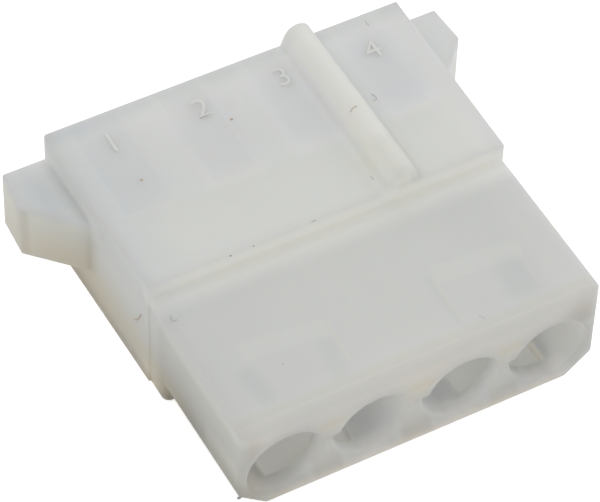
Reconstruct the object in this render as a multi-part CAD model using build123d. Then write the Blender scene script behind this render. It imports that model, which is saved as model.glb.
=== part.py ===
from build123d import *
import math
import os

# A four-circuit connector housing, moulded in one piece of natural nylon.
# X runs across the circuits, Y from the mating face (low) to the wire face (high), Z up.
# The origin is the middle of the footprint, on the plane that the housing lies on.

# Circuits
CIRCUITS = 4
PITCH = 5.08

# Body, the thicker rear section that holds the contacts
BODY_LENGTH = 11.47
BODY_SIDE_DRAFT = 0.15
BODY_SIDE_RADIUS = 0.15
BODY_STEP_RADIUS = 0.1
BODY_REAR_RADIUS = 0.1

# Nose, the slimmer front section that enters the mating shell
NOSE_LENGTH = 9.67
NOSE_SIDE_WALL = 0.4
NOSE_ROOF_WALL = 1.7
NOSE_SIDE_STEP = 0.07
NOSE_TOP_STEP = 1.0
NOSE_UNDERSIDE_STEP = 0.12
NOSE_TOP_RADIUS = 0.2
NOSE_FRONT_RADIUS = 0.3
STEP_FOOT_RADIUS = 0.12

# Polarising chamfers along the nose's lower corners, and the square corner blocks behind them
CHAMFER_WIDTH = 1.5
CHAMFER_HEIGHT = 1.3
CHAMFER_EDGE_RADIUS = 0.3
CORNER_BLOCK_LENGTH = 1.67
CORNER_BLOCK_RADIUS = 0.4

# Round wells in the mating face, drafted for their core pins down to a parallel seat
WELL_RADIUS = 2.16
WELL_DEPTH = 8.9
WELL_SEAT_LENGTH = 3.4
WELL_DRAFT = 0.04
WELL_WALL = 0.42
WELL_LEAD_IN = 0.04

# Shallow slots that join neighbouring wells at the mating face, and the rounded webs behind them
SLOT_DEPTH = 0.35
SLOT_RISE = 0.76
SLOT_FOOT_WALL = 0.44
SLOT_FOOT_RADIUS = 0.3
WEB_EDGE_RADIUS = 0.26

# Narrow necks between the wells and the wire cavities
NECK_RADIUS = 1.6
NECK_TAPER = 0.6

# Wire cavities, each a round bore with a flat-roofed groove for the contact's lance
CAVITY_RADIUS = 1.9
CAVITY_LENGTH = 6.25
CAVITY_ROOF_WALL = 1.1
GROOVE_WIDTH = 2.5
CAVITY_LEAD_IN = 0.25

# Pockets in the nose's underside, one under each outer pair of circuits, with their sides just past the wells' axes
POCKET_INNER_INSET = 0.51
POCKET_OUTER_OVERHANG = 0.43
POCKET_FRONT_WALL = 1.3
POCKET_LENGTH = 4.1
POCKET_ROOF_WALL = 1.2
POCKET_SLOPE_RISE = 1.25

# Ears at the wire end
EAR_REACH = 2.42
EAR_FLARE = 0.14
EAR_LENGTH = 2.37
EAR_SLOPE_LENGTH = 2.85
EAR_UNDERSIDE = 1.97
EAR_THICKNESS = 3.78
EAR_EDGE_RADIUS = 0.12

# Round-topped finger rib along the body's top, flush with the step in front
RIB_OFFSET = 4.35
RIB_WIDTH = 1.92
RIB_TOP_RADIUS = 0.78
RIB_HEIGHT = 1.1
RIB_FRONT_RADIUS = 0.35

# How far each cutting shape passes the surface that it opens, and how near a place counts as the same
OVERRUN = 1.0
NEAR = 0.02

# Places that follow from the sizes
LENGTH = NOSE_LENGTH + BODY_LENGTH
FRONT_Y = -LENGTH / 2
REAR_Y = LENGTH / 2
STEP_Y = FRONT_Y + NOSE_LENGTH
CAVITY_START_Y = REAR_Y - CAVITY_LENGTH
CIRCUIT_XS = [(i - (CIRCUITS - 1) / 2) * PITCH for i in range(CIRCUITS)]
NOSE_WIDTH = CIRCUIT_XS[-1] - CIRCUIT_XS[0] + 2 * (WELL_RADIUS + NOSE_SIDE_WALL)
BODY_FRONT_WIDTH = NOSE_WIDTH + 2 * NOSE_SIDE_STEP
BODY_WIDTH = BODY_FRONT_WIDTH + 2 * BODY_SIDE_DRAFT
WELL_Z = NOSE_UNDERSIDE_STEP + WELL_WALL + WELL_RADIUS
NOSE_TOP = WELL_Z + WELL_RADIUS + NOSE_ROOF_WALL
BODY_HEIGHT = NOSE_TOP + NOSE_TOP_STEP
POCKET_INNER_X = CIRCUIT_XS[-2] + POCKET_INNER_INSET
POCKET_OUTER_X = CIRCUIT_XS[-1] + POCKET_OUTER_OVERHANG


def block(low, high):
    """A box between two opposite corners."""
    size = [b - a for a, b in zip(low, high)]
    middle = [(a + b) / 2 for a, b in zip(low, high)]
    return Pos(*middle) * Box(*size)


def bore(x, radius, start_y, end_y, end_radius=None):
    """A round solid along Y on a circuit's axis, tapered where the end radius differs."""
    length = end_y - start_y
    place = Pos(x, start_y, WELL_Z) * Rot(X=-90)
    if end_radius is None:
        form = Cylinder(radius, length, align=(Align.CENTER, Align.CENTER, Align.MIN))
    else:
        form = Cone(radius, end_radius, length, align=(Align.CENTER, Align.CENTER, Align.MIN))
    return place * form


def long_edges(solid, x, z):
    """The straight edges along Y, on both sides, that lie at the given X and Z."""
    return [edge for edge in solid.edges().filter_by(Axis.Y)
            if math.isclose(abs(edge.center().X), x, abs_tol=NEAR)
            and math.isclose(edge.center().Z, z, abs_tol=NEAR)]


def make_nose():
    """The nose with its chamfered lower corners and its rounded front rim."""
    half = NOSE_WIDTH / 2
    base = NOSE_UNDERSIDE_STEP
    nose = block((-half, FRONT_Y, base), (half, STEP_Y + OVERRUN, NOSE_TOP))
    chamfer_end = STEP_Y - CORNER_BLOCK_LENGTH
    for side in (-1, 1):
        corner = Polyline(
            (side * half, base + CHAMFER_HEIGHT),
            (side * (half - CHAMFER_WIDTH), base),
            (side * (half - CHAMFER_WIDTH), base - OVERRUN),
            (side * (half + OVERRUN), base - OVERRUN),
            (side * (half + OVERRUN), base + CHAMFER_HEIGHT),
            close=True,
        )
        face = Plane((0, FRONT_Y - OVERRUN, 0), x_dir=(1, 0, 0), z_dir=(0, -1, 0)) * make_face(corner)
        nose -= extrude(face, -(chamfer_end - FRONT_Y + OVERRUN))
    block_ends = [edge for edge in nose.edges().filter_by(Axis.Z)
                  if math.isclose(edge.center().Y, chamfer_end, abs_tol=NEAR)]
    nose = fillet(block_ends, CORNER_BLOCK_RADIUS)
    nose = fillet(long_edges(nose, half, NOSE_TOP), NOSE_TOP_RADIUS)
    upper = long_edges(nose, half, base + CHAMFER_HEIGHT)
    lower = long_edges(nose, half - CHAMFER_WIDTH, base)
    nose = fillet(upper + lower, CHAMFER_EDGE_RADIUS)
    rim = nose.faces().sort_by(Axis.Y)[0].edges()
    return fillet(rim, NOSE_FRONT_RADIUS)


def make_body():
    """The body, drafted a little in plan, with softened top and rear edges."""
    front_half = BODY_FRONT_WIDTH / 2
    rear_half = BODY_WIDTH / 2
    plan = Polyline(
        (-front_half, STEP_Y), (front_half, STEP_Y), (rear_half, REAR_Y), (-rear_half, REAR_Y), close=True
    )
    body = extrude(make_face(plan), BODY_HEIGHT)
    step_edge, *side_edges, rear_edge = body.faces().sort_by(Axis.Z)[-1].edges().sort_by(Axis.Y)
    body = fillet(side_edges, BODY_SIDE_RADIUS)
    step_edge = body.faces().sort_by(Axis.Z)[-1].edges().sort_by(Axis.Y)[0]
    body = fillet(step_edge, BODY_STEP_RADIUS)
    rear = body.faces().sort_by(Axis.Y)[-1].edges()
    return fillet(rear, BODY_REAR_RADIUS)


def make_ear(side):
    """One ear: a slab at the wire end whose front slopes back into the body's side."""
    root = NOSE_WIDTH / 2
    outer = BODY_WIDTH / 2 + EAR_REACH
    plan = Polyline(
        (side * root, REAR_Y),
        (side * outer, REAR_Y),
        (side * (outer + EAR_FLARE), REAR_Y - EAR_LENGTH),
        (side * root, REAR_Y - EAR_LENGTH - EAR_SLOPE_LENGTH),
        (side * (root - OVERRUN), REAR_Y - EAR_LENGTH - EAR_SLOPE_LENGTH),
        (side * (root - OVERRUN), REAR_Y),
        close=True,
    )
    ear = Pos(0, 0, EAR_UNDERSIDE) * extrude(make_face(plan), EAR_THICKNESS)
    outer_edges = [edge for edge in ear.edges() if abs(edge.center().X) > root]
    return fillet(outer_edges, EAR_EDGE_RADIUS)


def make_rib():
    """The finger rib: flanks that lean in and run smoothly into a round top, with a rounded front end."""
    foot_half = RIB_WIDTH / 2
    rise = RIB_HEIGHT - RIB_TOP_RADIUS
    lean = math.acos(RIB_TOP_RADIUS / math.hypot(foot_half, rise)) - math.atan2(rise, foot_half)
    shoulder = RIB_TOP_RADIUS * math.cos(lean)
    shoulder_z = BODY_HEIGHT + rise + RIB_TOP_RADIUS * math.sin(lean)
    root = BODY_HEIGHT - BODY_SIDE_RADIUS
    root_half = foot_half + BODY_SIDE_RADIUS * math.tan(lean)
    arch = ThreePointArc((-shoulder, shoulder_z), (0, BODY_HEIGHT + RIB_HEIGHT), (shoulder, shoulder_z))
    arch += Polyline(
        (shoulder, shoulder_z), (root_half, root), (-root_half, root), (-shoulder, shoulder_z)
    )
    face = Plane((RIB_OFFSET, REAR_Y, 0), x_dir=(1, 0, 0), z_dir=(0, -1, 0)) * make_face(arch)
    rib = extrude(face, REAR_Y - STEP_Y)
    front_edges = rib.faces().sort_by(Axis.Y)[0].edges().sort_by(Axis.Z)
    return fillet(front_edges[1:], RIB_FRONT_RADIUS)


def make_well(x):
    """A circuit's passage: well, neck and wire cavity on one axis, with the lance groove."""
    well_end = FRONT_Y + WELL_DEPTH
    seat_start = well_end - WELL_SEAT_LENGTH
    throat_radius = WELL_RADIUS + WELL_DRAFT
    mouth_radius = throat_radius + WELL_LEAD_IN
    mouth = bore(x, mouth_radius, FRONT_Y - OVERRUN, FRONT_Y)
    taper = bore(x, mouth_radius, FRONT_Y, FRONT_Y + WELL_LEAD_IN, throat_radius)
    throat = bore(x, throat_radius, FRONT_Y + WELL_LEAD_IN, seat_start, WELL_RADIUS)
    seat = bore(x, WELL_RADIUS, seat_start, well_end)
    neck = bore(x, NECK_RADIUS, well_end - OVERRUN, CAVITY_START_Y + OVERRUN)
    funnel = bore(x, NECK_RADIUS, CAVITY_START_Y - NECK_TAPER, CAVITY_START_Y, CAVITY_RADIUS)
    cavity = bore(x, CAVITY_RADIUS, CAVITY_START_Y, REAR_Y + OVERRUN)
    flare = bore(x, CAVITY_RADIUS, REAR_Y - CAVITY_LEAD_IN, REAR_Y, CAVITY_RADIUS + CAVITY_LEAD_IN)
    groove = block(
        (x - GROOVE_WIDTH / 2, CAVITY_START_Y, WELL_Z),
        (x + GROOVE_WIDTH / 2, REAR_Y + OVERRUN, BODY_HEIGHT - CAVITY_ROOF_WALL),
    )
    return mouth + taper + throat + seat + neck + funnel + cavity + flare + groove


def make_slot(left_x, right_x):
    """The shallow slot across the web between two neighbouring wells, with its foot eased into the web."""
    slot = block(
        (left_x, FRONT_Y - OVERRUN, NOSE_UNDERSIDE_STEP + SLOT_FOOT_WALL),
        (right_x, FRONT_Y + SLOT_DEPTH, WELL_Z + SLOT_RISE),
    )
    foot_edge = slot.faces().sort_by(Axis.Y)[-1].edges().sort_by(Axis.Z)[0]
    return fillet(foot_edge, SLOT_FOOT_RADIUS)


def make_web_easing(left_x, right_x):
    """The rounding of a web's two edges, where its wells' walls run out into the slot."""
    web_face = FRONT_Y + SLOT_DEPTH
    end = web_face + WEB_EDGE_RADIUS
    inner = WELL_RADIUS + WELL_DRAFT - NEAR
    outer = inner + WEB_EDGE_RADIUS
    profile = CenterArc((outer, end), WEB_EDGE_RADIUS, 180, 90)
    profile += Polyline((outer, web_face), (outer, FRONT_Y), (0, FRONT_Y), (0, end), (inner, end))
    flare = revolve(make_face(profile), Axis.Y)
    flares = Pos(left_x, 0, WELL_Z) * flare + Pos(right_x, 0, WELL_Z) * flare
    return flares & block(
        (left_x, FRONT_Y, NOSE_UNDERSIDE_STEP + SLOT_FOOT_WALL), (right_x, end, WELL_Z + SLOT_RISE)
    )


def make_pocket(side):
    """An underside pocket with a flat roof and a sloped rear end, over two circuits."""
    front = FRONT_Y + POCKET_FRONT_WALL
    rear = front + POCKET_LENGTH
    roof = NOSE_TOP - POCKET_ROOF_WALL
    outline = Polyline(
        (front, NOSE_UNDERSIDE_STEP - OVERRUN),
        (rear, NOSE_UNDERSIDE_STEP - OVERRUN),
        (rear, roof - POCKET_SLOPE_RISE),
        (rear - POCKET_SLOPE_RISE, roof),
        (front, roof),
        close=True,
    )
    start = min(side * POCKET_INNER_X, side * POCKET_OUTER_X)
    face = Plane((start, 0, 0), x_dir=(0, 1, 0), z_dir=(1, 0, 0)) * make_face(outline)
    return extrude(face, POCKET_OUTER_X - POCKET_INNER_X)


def make_cove():
    """The hollow curve that eases the nose's top into the foot of the step."""
    front = STEP_Y - STEP_FOOT_RADIUS
    top = NOSE_TOP + STEP_FOOT_RADIUS
    back = STEP_Y + STEP_FOOT_RADIUS
    under = NOSE_TOP - NOSE_TOP_RADIUS
    outline = RadiusArc((front, NOSE_TOP), (STEP_Y, top), STEP_FOOT_RADIUS)
    outline += Polyline((STEP_Y, top), (back, top), (back, under), (front, under), (front, NOSE_TOP))
    half = NOSE_WIDTH / 2 - NOSE_TOP_RADIUS
    face = Plane((-half, 0, 0), x_dir=(0, 1, 0), z_dir=(1, 0, 0)) * make_face(outline)
    return extrude(face, 2 * half)


def make_housing():
    """The whole moulding."""
    shell = make_nose() + make_body() + make_cove()
    shell += make_ear(-1)
    shell += make_ear(1)
    shell += make_rib()
    for side in (-1, 1):
        shell -= make_pocket(side)
    for left_x, right_x in zip(CIRCUIT_XS, CIRCUIT_XS[1:]):
        shell -= make_slot(left_x, right_x)
        shell -= make_web_easing(left_x, right_x)
    for x in CIRCUIT_XS:
        shell -= make_well(x)
    return shell


os.makedirs("parts", exist_ok=True)
export_step(make_housing().solid(), "parts/housing.step")
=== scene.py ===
from math import radians

import bmesh
import bpy
from mathutils import Matrix, Vector


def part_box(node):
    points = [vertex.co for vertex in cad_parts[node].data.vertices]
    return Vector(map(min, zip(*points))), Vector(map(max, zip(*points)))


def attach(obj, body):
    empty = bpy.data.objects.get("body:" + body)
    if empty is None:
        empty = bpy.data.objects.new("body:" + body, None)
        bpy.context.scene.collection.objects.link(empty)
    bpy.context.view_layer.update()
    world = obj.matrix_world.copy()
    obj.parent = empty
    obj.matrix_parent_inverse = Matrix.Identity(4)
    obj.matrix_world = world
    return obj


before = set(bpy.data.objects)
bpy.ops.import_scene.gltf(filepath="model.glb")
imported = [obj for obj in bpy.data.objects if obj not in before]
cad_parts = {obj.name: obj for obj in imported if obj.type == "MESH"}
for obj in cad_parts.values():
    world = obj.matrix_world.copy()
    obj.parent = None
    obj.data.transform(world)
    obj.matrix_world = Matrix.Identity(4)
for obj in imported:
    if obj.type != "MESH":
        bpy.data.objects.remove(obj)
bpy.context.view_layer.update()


# The housing is one shot of natural nylon: milky and faintly green-grey where it is thick. The cooler tone over the
# hollow cavities and the amber where light leaves a thin lip are painted light and shade, in the patches and glow
# zones below. It is moulded in a two-part die with core pins for the wells.
mm = 0.001
nylon_light = (0.880, 0.890, 0.850, 1.0)
nylon_deep = (0.860, 0.872, 0.832, 1.0)
nylon_reach = 3.5 * mm

cloud = bpy.data.node_groups.new("moulded_cloud", "ShaderNodeTree")
cloud.interface.new_socket("Size", in_out="INPUT", socket_type="NodeSocketFloat").default_value = 220.0
cloud.interface.new_socket("Light", in_out="INPUT", socket_type="NodeSocketColor").default_value = nylon_light
cloud.interface.new_socket("Dark", in_out="INPUT", socket_type="NodeSocketColor").default_value = nylon_deep
cloud.interface.new_socket("Color", in_out="OUTPUT", socket_type="NodeSocketColor")
cloud_in = cloud.nodes.new("NodeGroupInput")
cloud_out = cloud.nodes.new("NodeGroupOutput")
cloud_place = cloud.nodes.new("ShaderNodeTexCoord")
cloud_noise = cloud.nodes.new("ShaderNodeTexNoise")
cloud_noise.inputs["Detail"].default_value = 3.0
cloud_mix = cloud.nodes.new("ShaderNodeMix")
cloud_mix.data_type = "RGBA"
cloud.links.new(cloud_place.outputs["Object"], cloud_noise.inputs["Vector"])
cloud.links.new(cloud_in.outputs["Size"], cloud_noise.inputs["Scale"])
cloud.links.new(cloud_noise.outputs["Fac"], cloud_mix.inputs["Factor"])
cloud.links.new(cloud_in.outputs["Light"], cloud_mix.inputs["A"])
cloud.links.new(cloud_in.outputs["Dark"], cloud_mix.inputs["B"])
cloud.links.new(cloud_mix.outputs["Result"], cloud_out.inputs["Color"])

# Painted light and shade: the nylon's colour is made lighter where light would come through a thin wall or run to an
# edge, warmer where it would leave a thin lip, and darker in shaded recesses, on sides turned from the light and over
# hollows that show through the walls. Each patch is a box in the housing with a soft border: its middle and half sizes
# in mm, its turn about Z in degrees, its softness in mm and its tint.
light_and_shade_patch = bpy.data.node_groups.new("painted_light_and_shade", "ShaderNodeTree")
light_and_shade_patch.interface.new_socket("Color", in_out="INPUT", socket_type="NodeSocketColor")
light_and_shade_patch.interface.new_socket("Middle", in_out="INPUT", socket_type="NodeSocketVector")
light_and_shade_patch.interface.new_socket("Half", in_out="INPUT", socket_type="NodeSocketVector")
light_and_shade_patch.interface.new_socket("Turn", in_out="INPUT", socket_type="NodeSocketFloat")
light_and_shade_patch.interface.new_socket("Soft", in_out="INPUT", socket_type="NodeSocketFloat")
light_and_shade_patch.interface.new_socket("Tint", in_out="INPUT", socket_type="NodeSocketColor")
light_and_shade_patch.interface.new_socket("Color", in_out="OUTPUT", socket_type="NodeSocketColor")
light_and_shade_patch.interface.new_socket("Mask", in_out="OUTPUT", socket_type="NodeSocketFloat")
patch_in = light_and_shade_patch.nodes.new("NodeGroupInput")
patch_out = light_and_shade_patch.nodes.new("NodeGroupOutput")
patch_place = light_and_shade_patch.nodes.new("ShaderNodeTexCoord")
patch_turn = light_and_shade_patch.nodes.new("ShaderNodeVectorRotate")
patch_turn.rotation_type = "Z_AXIS"
patch_from = light_and_shade_patch.nodes.new("ShaderNodeVectorMath")
patch_from.operation = "SUBTRACT"
patch_side = light_and_shade_patch.nodes.new("ShaderNodeVectorMath")
patch_side.operation = "ABSOLUTE"
patch_past = light_and_shade_patch.nodes.new("ShaderNodeVectorMath")
patch_past.operation = "SUBTRACT"
patch_out_of = light_and_shade_patch.nodes.new("ShaderNodeVectorMath")
patch_out_of.operation = "MAXIMUM"
patch_far = light_and_shade_patch.nodes.new("ShaderNodeVectorMath")
patch_far.operation = "LENGTH"
patch_fade = light_and_shade_patch.nodes.new("ShaderNodeMapRange")
patch_fade.interpolation_type = "SMOOTHSTEP"
patch_fade.inputs["To Min"].default_value = 1.0
patch_fade.inputs["To Max"].default_value = 0.0
patch_mix = light_and_shade_patch.nodes.new("ShaderNodeMix")
patch_mix.data_type = "RGBA"
patch_mix.blend_type = "MULTIPLY"
light_and_shade_patch.links.new(patch_place.outputs["Object"], patch_turn.inputs["Vector"])
light_and_shade_patch.links.new(patch_in.outputs["Middle"], patch_turn.inputs["Center"])
light_and_shade_patch.links.new(patch_in.outputs["Turn"], patch_turn.inputs["Angle"])
light_and_shade_patch.links.new(patch_turn.outputs["Vector"], patch_from.inputs[0])
light_and_shade_patch.links.new(patch_in.outputs["Middle"], patch_from.inputs[1])
light_and_shade_patch.links.new(patch_from.outputs["Vector"], patch_side.inputs[0])
light_and_shade_patch.links.new(patch_side.outputs["Vector"], patch_past.inputs[0])
light_and_shade_patch.links.new(patch_in.outputs["Half"], patch_past.inputs[1])
light_and_shade_patch.links.new(patch_past.outputs["Vector"], patch_out_of.inputs[0])
light_and_shade_patch.links.new(patch_out_of.outputs["Vector"], patch_far.inputs[0])
light_and_shade_patch.links.new(patch_far.outputs["Value"], patch_fade.inputs["Value"])
light_and_shade_patch.links.new(patch_in.outputs["Soft"], patch_fade.inputs["From Max"])
light_and_shade_patch.links.new(patch_fade.outputs["Result"], patch_mix.inputs["Factor"])
light_and_shade_patch.links.new(patch_in.outputs["Color"], patch_mix.inputs["A"])
light_and_shade_patch.links.new(patch_in.outputs["Tint"], patch_mix.inputs["B"])
light_and_shade_patch.links.new(patch_mix.outputs["Result"], patch_out.inputs["Color"])
light_and_shade_patch.links.new(patch_fade.outputs["Result"], patch_out.inputs["Mask"])

webs = (-5.08, 0.0, 5.08)

# The wells, the webs between them and the lip below: painted light inside the wells and a painted amber glow on the
# lip, painted shade on the wells' side walls, on the webs and at the wells' lower left.
well_light_and_shade = (
    ((0.0, -6.2, 2.7), (9.75, 3.9, 2.25), 0, 0.15, (1.11, 1.10, 1.12)),
    ((9.8, -6.5, 2.7), (0.5, 4.2, 2.2), 0, 1.8, (0.72, 0.73, 0.75)),
    ((-9.8, -6.5, 2.7), (0.1, 4.2, 2.2), 0, 1.2, (0.80, 0.80, 0.79)),
    ((-5.08, -10.2, 1.9), (0.6, 0.1, 1.4), 0, 0.5, (0.84, 0.83, 0.81)),
    ((0.0, -10.2, 1.9), (0.6, 0.1, 1.4), 0, 0.5, (0.84, 0.83, 0.81)),
    ((5.08, -10.2, 1.9), (0.6, 0.1, 1.4), 0, 0.5, (0.88, 0.87, 0.85)),
    *[((x, -10.3, 0.9), (1.1, 0.1, 0.5), 0, 1.2, (0.93, 0.925, 0.935)) for x in webs],
    ((0.0, -10.6, 0.3), (9.2, 0.1, 0.15), 0, 0.3, (1.06, 0.96, 0.86)),
    ((-3.6, -9.1, 0.9), (0.3, 0.5, 0.4), 0, 0.9, (0.80, 0.80, 0.81)),
    ((1.5, -9.1, 0.9), (0.3, 0.5, 0.4), 0, 0.9, (0.80, 0.80, 0.81)),
    ((6.6, -9.1, 0.9), (0.3, 0.5, 0.4), 0, 0.9, (0.84, 0.84, 0.85)),
)
# The top wall: four cavity roofs, the outer edges, the rib and the step. Painted shade: darker strips over the hollows
# beneath, darker rear and side edges and a darker right flank on the rib. Painted light: a lighter roof between the
# strips, a lighter rib top and a lighter band along the step's foot.
top_light_and_shade = (
    ((0.0, 7.0, 7.56), (9.0, 3.0, 0.1), 0, 1.0, (1.02, 1.025, 1.03)),
    ((-7.8, 7.05, 7.56), (1.2, 3.2, 0.1), 0, 1.2, (1.01, 1.01, 1.01)),
    ((-2.9, 7.05, 7.56), (1.1, 3.2, 0.1), 0, 1.2, (1.065, 1.07, 1.035)),
    ((2.2, 7.05, 7.56), (1.1, 3.2, 0.1), 0, 1.2, (1.10, 1.105, 1.06)),
    ((7.4, 7.05, 7.56), (0.9, 3.2, 0.1), 0, 1.2, (1.105, 1.11, 1.07)),
    ((-7.8, 7.05, 7.56), (1.2, 3.25, 0.1), 0, 0.2, (0.968, 0.970, 0.985)),
    ((-2.9, 7.05, 7.56), (1.1, 3.25, 0.1), 0, 0.2, (0.965, 0.970, 0.980)),
    ((2.2, 7.05, 7.56), (1.1, 3.25, 0.1), 0, 0.2, (0.970, 0.970, 0.980)),
    ((7.4, 7.05, 7.56), (0.9, 3.25, 0.1), 0, 0.3, (0.970, 0.970, 0.980)),
    ((0.0, 10.6, 7.56), (10.5, 0.15, 0.1), 0, 1.4, (0.80, 0.825, 0.87)),
    ((-10.4, 5.0, 7.56), (0.4, 6.0, 0.3), 0, 3.2, (0.90, 0.92, 0.95)),
    ((10.3, 4.0, 7.56), (0.1, 7.0, 0.3), 0, 1.2, (0.95, 0.96, 0.98)),
    ((3.35, 4.8, 7.6), (0.1, 5.9, 0.1), 0, 0.7, (1.02, 1.02, 1.035)),
    ((4.3, 4.8, 8.3), (0.5, 5.9, 0.4), 0, 0.4, (1.07, 1.06, 1.02)),
    ((5.1, 4.8, 8.2), (0.1, 5.9, 0.5), 0, 0.5, (0.89, 0.90, 0.93)),
    ((4.2, 0.2, 8.2), (0.6, 0.9, 0.5), 0, 1.4, (0.98, 0.975, 0.955)),
    ((0.0, -1.0, 6.8), (10.2, 0.15, 0.25), 0, 0.9, (1.08, 1.07, 1.06)),
    ((0.0, -0.85, 7.56), (10.2, 0.15, 0.1), 0, 0.5, (0.985, 0.985, 0.98)),
)
# The nose's top, painted darker as shade, with the pockets beneath painted through it as windows of light and shade,
# and a thin painted highlight along its front edge.
nose_light_and_shade = (
    ((0.0, -6.0, 6.56), (9.8, 4.6, 0.3), 0, 0.8, (0.900, 0.902, 0.922)),
    ((-5.6, -6.25, 6.56), (2.2, 0.45, 0.1), 6, 0.25, (1.025, 1.025, 1.01)),
    ((5.4, -6.3, 6.56), (2.2, 0.5, 0.1), 5, 0.25, (1.025, 1.025, 1.01)),
    ((-3.2, -7.5, 6.56), (0.03, 1.4, 0.1), 4, 0.15, (1.025, 1.01, 0.98)),
    ((7.65, -7.5, 6.56), (0.03, 1.4, 0.1), 7, 0.15, (1.03, 1.02, 1.0)),
    ((2.90, -7.8, 6.56), (0.03, 1.5, 0.1), 0, 0.15, (1.02, 1.01, 0.98)),
    ((2.70, -7.8, 6.56), (0.03, 1.6, 0.1), 0, 0.3, (0.965, 0.970, 0.975)),
    ((-3.95, -8.4, 6.56), (0.15, 1.0, 0.1), 10, 0.6, (0.960, 0.970, 0.965)),
    ((-8.05, -8.2, 6.56), (0.1, 0.8, 0.1), -4, 0.8, (0.925, 0.94, 0.945)),
    ((6.75, -8.1, 6.56), (0.25, 0.7, 0.1), 8, 1.1, (0.925, 0.935, 0.945)),
    ((-9.2, -7.0, 6.56), (0.5, 2.6, 0.1), 0, 1.2, (0.970, 0.975, 0.985)),
    ((10.1, -6.0, 6.56), (0.3, 5.0, 0.1), 0, 1.5, (0.95, 0.955, 0.965)),
    ((-10.2, -6.0, 6.5), (0.1, 4.6, 0.1), 0, 1.8, (0.95, 0.95, 0.945)),
    ((0.0, -10.25, 6.56), (9.9, 0.02, 0.05), 0, 0.07, (1.03, 1.03, 1.04)),
)
# The front rim and its cusps, the side walls and the ears: a painted amber glow on the rim and the cusps, and painted
# shade, warm low on the left side wall, along the right side and on the ears.
edge_light_and_shade = (
    ((0.0, -10.6, 5.15), (9.6, 0.1, 0.55), 0, 0.6, (0.955, 0.920, 0.895)),
    ((0.0, -10.4, 6.55), (10.2, 0.35, 0.1), 0, 0.7, (0.975, 0.955, 0.915)),
    *[((x, -10.5, 3.9), (0.3, 0.2, 0.4), 0, 1.0, (1.02, 0.955, 0.865)) for x in webs],
    ((-10.3, 4.0, 0.0), (0.4, 6.5, 0.3), 0, 5.0, (0.90, 0.81, 0.67)),
    ((-10.25, -8.3, 0.3), (0.1, 2.8, 0.4), 0, 4.9, (0.46, 0.455, 0.45)),
    ((10.5, 0.0, 3.6), (0.05, 10.5, 3.9), 0, 0.35, (0.86, 0.88, 0.91)),
    ((-12.0, 8.0, 5.75), (1.6, 2.8, 0.1), 0, 0.7, (0.88, 0.895, 0.94)),
    ((12.0, 8.0, 5.75), (1.6, 2.8, 0.1), 0, 0.7, (0.90, 0.915, 0.95)),
    ((-13.0, 9.3, 3.6), (0.2, 1.4, 1.7), 0, 0.3, (0.90, 0.89, 0.86)),
    ((-11.8, 6.8, 3.8), (1.6, 1.6, 1.2), 0, 0.8, (0.94, 0.935, 0.92)),
    ((-11.8, 7.0, 2.0), (1.6, 2.6, 0.1), 0, 3.2, (1.01, 0.985, 0.965)),
)

# Painted light: a faint emission in these zones stands for light that comes through the walls. A zone is like a patch,
# with its shine in place of a tint, and a later zone covers an earlier one.
glow_zones = (
    ((0.0, -6.2, 2.7), (7.2, 3.7, 2.25), 0.8, (0.024, 0.024, 0.024)),
    ((0.0, -6.2, 2.7), (4.6, 3.7, 2.25), 0.6, (0.044, 0.044, 0.043)),
    ((0.0, -10.2, 0.35), (9.0, 0.6, 0.25), 0.45, (0.074, 0.069, 0.062)),
    ((5.55, -7.2, 0.27), (2.6, 2.2, 0.3), 0.15, (0.050, 0.050, 0.047)),
    ((-5.55, -7.2, 0.27), (2.6, 2.2, 0.3), 0.15, (0.050, 0.050, 0.047)),
    ((8.05, -7.4, 0.25), (0.04, 1.9, 0.35), 0.1, (0.12, 0.10, 0.07)),
    ((-8.05, -7.4, 0.25), (0.04, 1.9, 0.35), 0.1, (0.09, 0.075, 0.05)),
    ((-10.45, 4.8, 0.0), (0.1, 5.8, 0.1), 0.4, (0.07, 0.062, 0.055)),
    ((3.42, 4.8, 7.8), (0.1, 5.7, 0.3), 0.7, (0.050, 0.048, 0.046)),
    ((4.2, 6.2, 8.35), (0.4, 4.0, 0.3), 0.8, (0.036, 0.033, 0.020)),
    ((-10.6, 8.0, 5.75), (0.1, 2.8, 0.1), 1.1, (0.07, 0.067, 0.060)),
    ((-9.4, -8.8, 1.8), (0.4, 1.5, 1.3), 0.8, (0.060, 0.054, 0.045)),
    ((0.0, -1.3, 6.56), (10.0, 0.3, 0.05), 1.1, (0.076, 0.071, 0.065)),
    ((-10.2, -1.0, 0.3), (0.1, 0.1, 0.2), 1.5, (0.06, 0.052, 0.040)),
    ((-6.2, -7.2, 1.4), (0.9, 2.6, 1.2), 0.7, (0.066, 0.065, 0.062)),
    ((-3.08, -7.4, 0.3), (0.05, 1.9, 0.4), 0.1, (0.085, 0.082, 0.075)),
)

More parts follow.
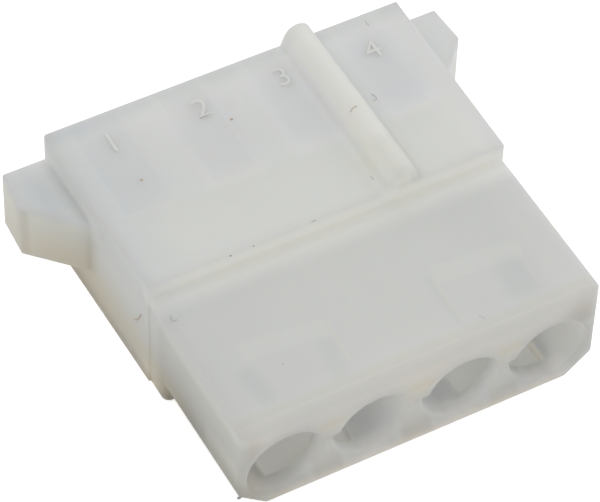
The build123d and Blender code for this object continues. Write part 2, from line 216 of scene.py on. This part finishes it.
nylon = bpy.data.materials.new("natural_nylon")
nylon.use_nodes = True
nylon.cycles.emission_sampling = "NONE"
tree = nylon.node_tree
shader = tree.nodes["Principled BSDF"]
shader.subsurface_method = "RANDOM_WALK"
shader.inputs["Subsurface Weight"].default_value = 1.0
shader.inputs["Subsurface Radius"].default_value = (1.0, 0.92, 0.78)
shader.inputs["Subsurface Scale"].default_value = nylon_reach
shader.inputs["IOR"].default_value = 1.53
shader.inputs["Specular IOR Level"].default_value = 0.25
shader.inputs["Roughness"].default_value = 0.5
clouded = tree.nodes.new("ShaderNodeGroup")
clouded.node_tree = cloud
tinted = clouded
for middle, half, turn, soft, tint in well_light_and_shade + top_light_and_shade + nose_light_and_shade + edge_light_and_shade:
    place = tree.nodes.new("ShaderNodeGroup")
    place.node_tree = light_and_shade_patch
    place.inputs["Middle"].default_value = [value * mm for value in middle]
    place.inputs["Half"].default_value = [value * mm for value in half]
    place.inputs["Turn"].default_value = radians(turn)
    place.inputs["Soft"].default_value = soft * mm
    place.inputs["Tint"].default_value = (*tint, 1.0)
    tree.links.new(tinted.outputs["Color"], place.inputs["Color"])
    tinted = place
tree.links.new(tinted.outputs["Color"], shader.inputs["Base Color"])
glowing = None
for middle, half, soft, shine in glow_zones:
    zone = tree.nodes.new("ShaderNodeGroup")
    zone.node_tree = light_and_shade_patch
    zone.inputs["Middle"].default_value = [value * mm for value in middle]
    zone.inputs["Half"].default_value = [value * mm for value in half]
    zone.inputs["Soft"].default_value = soft * mm
    glow = tree.nodes.new("ShaderNodeMix")
    glow.data_type = "RGBA"
    glow.inputs["A"].default_value = (0.0, 0.0, 0.0, 1.0)
    glow.inputs["B"].default_value = (*shine, 1.0)
    tree.links.new(zone.outputs["Mask"], glow.inputs["Factor"])
    if glowing:
        tree.links.new(glowing.outputs["Result"], glow.inputs["A"])
    glowing = glow
tree.links.new(glowing.outputs["Result"], shader.inputs["Emission Color"])
shader.inputs["Emission Strength"].default_value = 1.0
grain_place = tree.nodes.new("ShaderNodeTexCoord")
grain = tree.nodes.new("ShaderNodeTexNoise")
grain.inputs["Scale"].default_value = 2600.0
grain.inputs["Detail"].default_value = 3.0
grain_bump = tree.nodes.new("ShaderNodeBump")
grain_bump.inputs["Strength"].default_value = 0.12
grain_bump.inputs["Distance"].default_value = 0.01 * mm
tree.links.new(grain_place.outputs["Object"], grain.inputs["Vector"])
tree.links.new(grain.outputs["Fac"], grain_bump.inputs["Height"])
soft_edge = tree.nodes.new("ShaderNodeBevel")
soft_edge.samples = 2
soft_edge.inputs["Radius"].default_value = 0.9 * mm
tree.links.new(soft_edge.outputs["Normal"], grain_bump.inputs["Normal"])
tree.links.new(grain_bump.outputs["Normal"], shader.inputs["Normal"])

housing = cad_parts["housing"]
for slot in range(max(1, len(housing.material_slots))):
    if len(housing.material_slots) <= slot:
        housing.data.materials.append(nylon)
    housing.material_slots[slot].material = nylon


# Raised circuit digits stand on the top wall, one over each wire cavity, 1.3 mm tall and 0.02 mm proud. They were
# engraved in the die, so the strokes' steep edges are polished and glossier; their lighter tone is a painted glint.
rib_rise = 1.1 * mm
body_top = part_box("housing")[1].z - rib_rise
digit_height = 1.3 * mm
digit_rise = 0.02 * mm
stroke_half = 0.02
steep = 0.5
digit_cloud = 0.98
digit_places = (("1", -7.55, 8.38), ("2", -2.38, 8.42), ("3", 2.38, 8.46), ("4", 7.52, 8.0))

digit_face = bpy.data.materials.new("digit_face")
digit_edge_painted_glint = bpy.data.materials.new("digit_edge_painted_glint")
for paint, tone, gloss in (
    (digit_face, (0.875, 0.89, 0.86, 1.0), 0.55),
    # The steep edges' lighter tone is a painted glint.
    (digit_edge_painted_glint, (0.93, 0.94, 0.92, 1.0), 0.3),
):
    paint.use_nodes = True
    tree = paint.node_tree
    shader = tree.nodes["Principled BSDF"]
    shader.inputs["Roughness"].default_value = gloss
    shader.inputs["Specular IOR Level"].default_value = 0.25
    clouded = tree.nodes.new("ShaderNodeGroup")
    clouded.node_tree = cloud
    clouded.inputs["Light"].default_value = tone
    clouded.inputs["Dark"].default_value = [value * digit_cloud for value in tone[:3]] + [1.0]
    tree.links.new(clouded.outputs["Color"], shader.inputs["Base Color"])

for digit, x, y in digit_places:
    text = bpy.data.curves.new(f"digit_{digit}", "FONT")
    text.body = digit
    text.align_x = "CENTER"
    text.align_y = "CENTER"
    text.size = 1.0
    text.extrude = stroke_half
    text.bevel_depth = stroke_half
    text.bevel_resolution = 1
    text.offset = -stroke_half
    text.resolution_u = 6
    writing = bpy.data.objects.new(f"digit_{digit}_outline", text)
    mesh = bpy.data.meshes.new_from_object(writing)
    bpy.data.objects.remove(writing)
    low = min(v.co.y for v in mesh.vertices)
    high = max(v.co.y for v in mesh.vertices)
    scale = digit_height / (high - low)
    mesh.transform(Matrix.Diagonal((scale, scale, digit_rise / (2 * stroke_half), 1.0)))
    mesh.transform(Matrix.Translation((x * mm, y * mm, body_top)))
    mesh.materials.clear()
    mesh.materials.append(digit_face)
    mesh.materials.append(digit_edge_painted_glint)
    for face in mesh.polygons:
        face.material_index = 1 if abs(face.normal.y) > steep else 0
    piece = bpy.data.objects.new(f"digit_{digit}", mesh)
    bpy.context.scene.collection.objects.link(piece)
    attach(piece, "root")


# Dirt from handling: specks of brown dust and short dark fibres, which lie on the top, the nose and one side.
# Each fibre is a thin bent thread and each speck a flattened grain, sunk halfway into the surface. The nub is a
# bit of flash at the corner of the nose's chamfer.
dirt_size = 9000.0
dirt_cloud = 0.7

dust = bpy.data.materials.new("brown_dust")
fibre = bpy.data.materials.new("dark_fibre")
for paint, tone in ((dust, (0.72, 0.60, 0.46, 1.0)), (fibre, (0.60, 0.61, 0.59, 1.0))):
    paint.use_nodes = True
    tree = paint.node_tree
    shader = tree.nodes["Principled BSDF"]
    shader.inputs["Roughness"].default_value = 0.8
    clouded = tree.nodes.new("ShaderNodeGroup")
    clouded.node_tree = cloud
    clouded.inputs["Size"].default_value = dirt_size
    clouded.inputs["Light"].default_value = tone
    clouded.inputs["Dark"].default_value = [value * dirt_cloud for value in tone[:3]] + [1.0]
    tree.links.new(clouded.outputs["Color"], shader.inputs["Base Color"])

specks = (
    ("speck_strip_1", (-7.36, 5.49, 7.56), 0.075, dust),
    ("speck_strip_2", (-1.37, 7.06, 7.56), 0.075, dust),
    ("speck_rib_end", (4.12, -0.56, 8.5), 0.06, fibre),
    ("speck_right_edge", (10.0, 9.42, 7.5), 0.05, dust),
    ("speck_step_1", (-5.68, -0.95, 7.45), 0.06, fibre),
    ("speck_step_2", (-4.36, -0.93, 7.47), 0.05, fibre),
    ("speck_front", (-2.73, -10.4, 6.5), 0.05, fibre),
    ("speck_nose", (-6.3, -7.6, 6.535), 0.06, fibre),
    ("flash_nub", (-10.17, -10.44, 1.42), 0.1, fibre),
)
speck_form = (1.25, 0.85, 0.5)
for name, middle, radius, paint in specks:
    form = bmesh.new()
    bmesh.ops.create_icosphere(form, subdivisions=2, radius=radius * mm)
    bmesh.ops.scale(form, vec=speck_form, verts=form.verts)
    bmesh.ops.translate(form, vec=[value * mm for value in middle], verts=form.verts)
    mesh = bpy.data.meshes.new(name)
    form.to_mesh(mesh)
    form.free()
    mesh.materials.append(paint)
    piece = bpy.data.objects.new(name, mesh)
    bpy.context.scene.collection.objects.link(piece)
    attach(piece, "root")

threads = (
    ("thread_right", ((5.9, 5.3, 7.57), (5.97, 5.11, 7.57), (5.99, 4.9, 7.57), (5.86, 4.81, 7.57), (5.69, 4.83, 7.57)),
     0.022, fibre),
    ("thread_rear", ((8.2, 10.0, 7.57), (8.13, 9.87, 7.57), (8.2, 9.64, 7.57)), 0.016, fibre),
    ("thread_rib", ((3.86, 3.96, 8.5), (4.0, 4.05, 8.58), (4.14, 4.05, 8.64), (4.27, 4.04, 8.665)), 0.03, dust),
    ("thread_rib_foot", ((3.04, 0.36, 7.57), (3.1, 0.22, 7.57), (3.08, 0.08, 7.57)), 0.016, fibre),
    ("thread_step", ((-1.05, -0.91, 7.52), (-0.8, -0.91, 7.52)), 0.02, fibre),
    ("thread_nose_left", ((-9.78, -2.36, 6.57), (-9.85, -2.61, 6.57), (-9.8, -2.78, 6.57), (-9.57, -2.72, 6.57)),
     0.02, fibre),
    ("thread_nose_front", ((3.79, -9.36, 6.57), (3.89, -9.59, 6.57), (3.93, -9.72, 6.57)), 0.012, fibre),
    ("thread_side", ((-10.34, 0.52, 3.52), (-10.33, 0.24, 3.71), (-10.32, 0.01, 4.15), (-10.31, -0.16, 4.61)),
     0.03, dust),
)
for name, line, radius, paint in threads:
    curve = bpy.data.curves.new(name, "CURVE")
    curve.dimensions = "3D"
    curve.bevel_depth = radius * mm
    curve.bevel_resolution = 1
    curve.use_fill_caps = True
    spline = curve.splines.new("NURBS")
    spline.points.add(len(line) - 1)
    for point, place in zip(spline.points, line):
        point.co = (*[value * mm for value in place], 1.0)
    spline.order_u = 3
    spline.use_endpoint_u = True
    outline = bpy.data.objects.new(f"{name}_line", curve)
    mesh = bpy.data.meshes.new_from_object(outline)
    bpy.data.objects.remove(outline)
    mesh.materials.clear()
    mesh.materials.append(paint)
    piece = bpy.data.objects.new(name, mesh)
    bpy.context.scene.collection.objects.link(piece)
    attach(piece, "root")


# Floor: a plain white sheet under the part. It shows white to the camera and keeps the part's soft shadow. Under
# the nose the lift fades out, so that the pockets over it show shade.
sheet_half = 1.5
open_lift = 0.72
shade_lift = 0.06

floor_mesh = bpy.data.meshes.new("floor")
floor_form = bmesh.new()
bmesh.ops.create_grid(floor_form, x_segments=1, y_segments=1, size=sheet_half)
floor_form.to_mesh(floor_mesh)
floor_form.free()
floor_paint = bpy.data.materials.new("white_sheet")
floor_paint.use_nodes = True
tree = floor_paint.node_tree
shader = tree.nodes["Principled BSDF"]
shader.inputs["Base Color"].default_value = (0.885, 0.880, 0.878, 1.0)
shader.inputs["Roughness"].default_value = 0.9
shader.inputs["Specular IOR Level"].default_value = 0.1
shader.inputs["Emission Color"].default_value = (1.0, 1.0, 1.0, 1.0)
rays = tree.nodes.new("ShaderNodeLightPath")
seen = tree.nodes.new("ShaderNodeMath")
seen.operation = "MAXIMUM"
shade = tree.nodes.new("ShaderNodeGroup")
shade.node_tree = light_and_shade_patch
shade.inputs["Middle"].default_value = (0.0, -7.2 * mm, 0.0)
shade.inputs["Half"].default_value = (8.3 * mm, 2.4 * mm, 0.0)
shade.inputs["Soft"].default_value = 0.9 * mm
sheet_lift = tree.nodes.new("ShaderNodeMapRange")
sheet_lift.inputs["To Min"].default_value = open_lift
sheet_lift.inputs["To Max"].default_value = shade_lift
clear = tree.nodes.new("ShaderNodeMath")
clear.operation = "MAXIMUM"
lift = tree.nodes.new("ShaderNodeMath")
lift.operation = "MULTIPLY"
tree.links.new(rays.outputs["Is Camera Ray"], seen.inputs[0])
tree.links.new(rays.outputs["Is Glossy Ray"], seen.inputs[1])
tree.links.new(shade.outputs["Mask"], sheet_lift.inputs["Value"])
tree.links.new(seen.outputs["Value"], clear.inputs[0])
tree.links.new(rays.outputs["Is Transmission Ray"], clear.inputs[1])
tree.links.new(clear.outputs["Value"], lift.inputs[0])
tree.links.new(sheet_lift.outputs["Result"], lift.inputs[1])
tree.links.new(lift.outputs["Value"], shader.inputs["Emission Strength"])
floor_mesh.materials.append(floor_paint)
floor = bpy.data.objects.new("floor", floor_mesh)
bpy.context.scene.collection.objects.link(floor)


# Light: one broad soft box above and behind to the right, and an even sky that fills the near sides.
key_place = Vector((0.12, 0.14, 0.32))
key_width = 0.22
key_power = 0.10
sky_left = 0.52
sky_right = 0.76

lamp = bpy.data.lights.new("key_box", "AREA")
lamp.shape = "SQUARE"
lamp.size = key_width
lamp.energy = key_power
box = bpy.data.objects.new("key_box", lamp)
box.location = key_place
box.rotation_euler = key_place.to_track_quat("Z", "Y").to_euler()
box.visible_camera = False
bpy.context.scene.collection.objects.link(box)

world = bpy.data.worlds.new("studio")
world.use_nodes = True
tree = world.node_tree
sky = tree.nodes["Background"]
sky.inputs["Color"].default_value = (1.0, 1.0, 1.0, 1.0)
sky_rays = tree.nodes.new("ShaderNodeLightPath")
sky_way = tree.nodes.new("ShaderNodeTexCoord")
sky_sides = tree.nodes.new("ShaderNodeSeparateXYZ")
sky_fall = tree.nodes.new("ShaderNodeMapRange")
sky_fall.inputs["From Min"].default_value = -1.0
sky_fall.inputs["To Min"].default_value = sky_left
sky_fall.inputs["To Max"].default_value = sky_right
sky_level = tree.nodes.new("ShaderNodeMix")
sky_level.inputs["B"].default_value = 1.0
sky_glint = tree.nodes.new("ShaderNodeMath")
sky_glint.operation = "MAXIMUM"
sky_seen = tree.nodes.new("ShaderNodeMath")
sky_seen.operation = "MAXIMUM"
tree.links.new(sky_way.outputs["Generated"], sky_sides.inputs["Vector"])
tree.links.new(sky_sides.outputs["X"], sky_fall.inputs["Value"])
tree.links.new(sky_rays.outputs["Is Camera Ray"], sky_glint.inputs[0])
tree.links.new(sky_rays.outputs["Is Glossy Ray"], sky_glint.inputs[1])
tree.links.new(sky_glint.outputs["Value"], sky_seen.inputs[0])
tree.links.new(sky_rays.outputs["Is Transmission Ray"], sky_seen.inputs[1])
tree.links.new(sky_seen.outputs["Value"], sky_level.inputs["Factor"])
tree.links.new(sky_fall.outputs["Result"], sky_level.inputs["A"])
tree.links.new(sky_level.outputs["Result"], sky.inputs["Strength"])
bpy.context.scene.world = world


# Camera: a long lens from the front left and above, at the photograph's place and tilt.
camera_place = (-0.062535, -0.104706, 0.146737)
camera_azimuth = -30.39
camera_elevation = 49.55
camera_roll = 2.22
focal_length = 220.298

lens = bpy.data.cameras.new("camera")
lens.sensor_width = 36.0
lens.lens = focal_length
lens.clip_start = 0.01
camera = bpy.data.objects.new("camera", lens)
turn = Matrix.Rotation(radians(camera_azimuth), 4, "Z")
turn = turn @ Matrix.Rotation(radians(90.0 - camera_elevation), 4, "X")
turn = turn @ Matrix.Rotation(radians(camera_roll), 4, "Z")
camera.matrix_world = Matrix.Translation(camera_place) @ turn
bpy.context.scene.collection.objects.link(camera)
bpy.context.scene.camera = camera
bpy.context.scene.view_settings.view_transform = "Standard"

# Light goes round inside the wells many times before it leaves them.
bpy.context.scene.cycles.max_bounces = 12
bpy.context.scene.cycles.diffuse_bounces = 12
